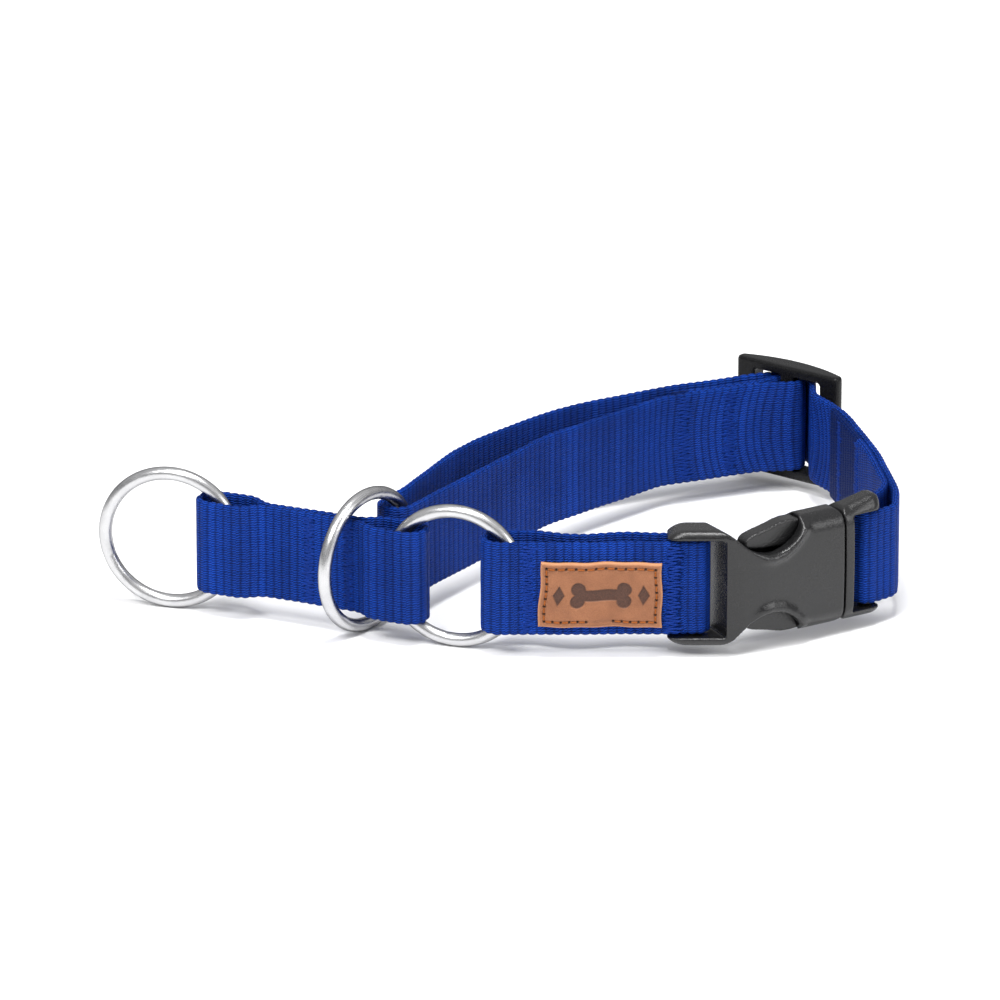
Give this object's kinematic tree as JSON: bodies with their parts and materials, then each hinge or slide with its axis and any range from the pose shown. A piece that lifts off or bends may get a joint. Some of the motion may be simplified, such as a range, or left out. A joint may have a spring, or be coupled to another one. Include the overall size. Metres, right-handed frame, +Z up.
{
  "type": "martingale collar",
  "caption": "Slip-stop training collar of ribbed webbing: a leash ring on a short strap slides through a guide ring, with a side-release buckle, an adjuster and a leather label.",
  "frame": {"origin": "under the middle of the collar's box, on the surface that its rings stand on", "axes": "+X along the front strap from the rings towards the buckle, +Y away from the front strap across the neck space, +Z up the width of the webbing"},
  "size_m": [0.2014, 0.1368, 0.0374],
  "materials": {
    "webbing_blue": "ribbed polyester webbing, transverse ribs, satin yarn",
    "thread_blue": "polyester thread, matching the webbing",
    "ring_steel": "polished welded stainless wire",
    "buckle_plastic": "fine-grained moulded acetal, soft highlights",
    "label_leather": "smooth vegetable-tanned leather, crowned edges",
    "label_thread": "waxed orange-brown thread"
  },
  "bodies": {
    "front": {"front_strap": "webbing_blue", "front_ring_thread": "thread_blue", "front_buckle_thread": "thread_blue", "leather_label": "label_leather", "label_thread": "label_thread", "buckle_socket": "buckle_plastic"},
    "stop_ring": {"stop_ring": "ring_steel"},
    "slide_strap": {"slide_strap": "webbing_blue", "slide_stop_thread": "thread_blue", "slide_leash_thread": "thread_blue"},
    "leash_ring": {"leash_ring": "ring_steel"},
    "buckle_plug": {"buckle_plug": "buckle_plastic"},
    "upper_prong": {"upper_prong": "buckle_plastic"},
    "lower_prong": {"lower_prong": "buckle_plastic"},
    "buckle_loop": {"buckle_loop": "webbing_blue"},
    "bend_strap": {"bend_strap": "webbing_blue", "buckle_end_thread": "thread_blue"},
    "adjuster": {"strap_adjuster": "buckle_plastic", "adjuster_wrap": "webbing_blue"},
    "back_strap": {"back_strap": "webbing_blue", "adjuster_thread": "thread_blue"},
    "guide_ring": {"guide_ring": "ring_steel"}
  },
  "joints": [
    {"name": "stop_ring_swing", "type": "hinge", "parent": "front", "child": "stop_ring", "pos_m": [0.00159, -0.06155, 0.0183], "axis": [0, 0, 1], "range_deg": [-3.5, 3.5]},
    {"name": "slide_strap_swing", "type": "hinge", "parent": "stop_ring", "child": "slide_strap", "pos_m": [-0.02328, -0.05395, 0.0183], "axis": [0, 0, 1], "range_deg": [-3.5, 3.5]},
    {"name": "leash_ring_swing", "type": "hinge", "parent": "slide_strap", "child": "leash_ring", "pos_m": [-0.06987, -0.0332, 0.0183], "axis": [0, 0, 1], "range_deg": [-17, 11]},
    {"name": "buckle_release", "type": "slide", "parent": "front", "child": "buckle_plug", "axis": [0.848, 0.5299, 0], "range_m": [0, 0.024], "deforming": ["upper_prong", "lower_prong"]},
    {"name": "upper_prong_squeeze", "type": "hinge", "parent": "buckle_plug", "child": "upper_prong", "pos_m": [0.08055, -0.04814, 0.0277], "axis": [0.5299, -0.848, 0], "range_deg": [0, 9.5], "stiffness_Nm_per_rad": 0.2},
    {"name": "lower_prong_squeeze", "type": "hinge", "parent": "buckle_plug", "child": "lower_prong", "pos_m": [0.08055, -0.04814, 0.0085], "axis": [-0.5299, 0.848, 0], "range_deg": [0, 9.5], "stiffness_Nm_per_rad": 0.2},
    {"name": "buckle_loop_turn", "type": "hinge", "parent": "buckle_plug", "child": "buckle_loop", "pos_m": [0.09175, -0.04115, 0.0183], "axis": [0, 0, 1], "range_deg": [0, 14.6]},
    {"name": "collar_size", "type": "hinge", "parent": "buckle_loop", "child": "bend_strap", "pos_m": [0.09496, 0.00215, 0.0183], "axis": [0, 0, 1], "range_deg": [0, 6]},
    {"name": "adjuster_turn", "type": "hinge", "parent": "bend_strap", "child": "adjuster", "pos_m": [0.07536, 0.05785, 0.0183], "axis": [0, 0, 1], "range_deg": [-10.7, 0]},
    {"name": "back_strap_turn", "type": "hinge", "parent": "adjuster", "child": "back_strap", "pos_m": [0.07536, 0.05785, 0.0183], "axis": [0, 0, 1], "range_deg": [-12.4, 0]},
    {"name": "guide_ring_swing", "type": "hinge", "parent": "back_strap", "child": "guide_ring", "pos_m": [-0.02484, -0.0356, 0.0183], "axis": [0, 0, 1], "range_deg": [-12, 2]}
  ],
  "couplings": [
    {"joint": "slide_strap_swing", "follows": "stop_ring_swing", "ratio": -1},
    {"joint": "lower_prong_squeeze", "follows": "upper_prong_squeeze", "ratio": 1},
    {"joint": "buckle_loop_turn", "follows": "buckle_release", "rad_per_m": 10.6},
    {"joint": "adjuster_turn", "follows": "collar_size", "ratio": -1.77},
    {"joint": "back_strap_turn", "follows": "buckle_release", "rad_per_m": -9}
  ]
}
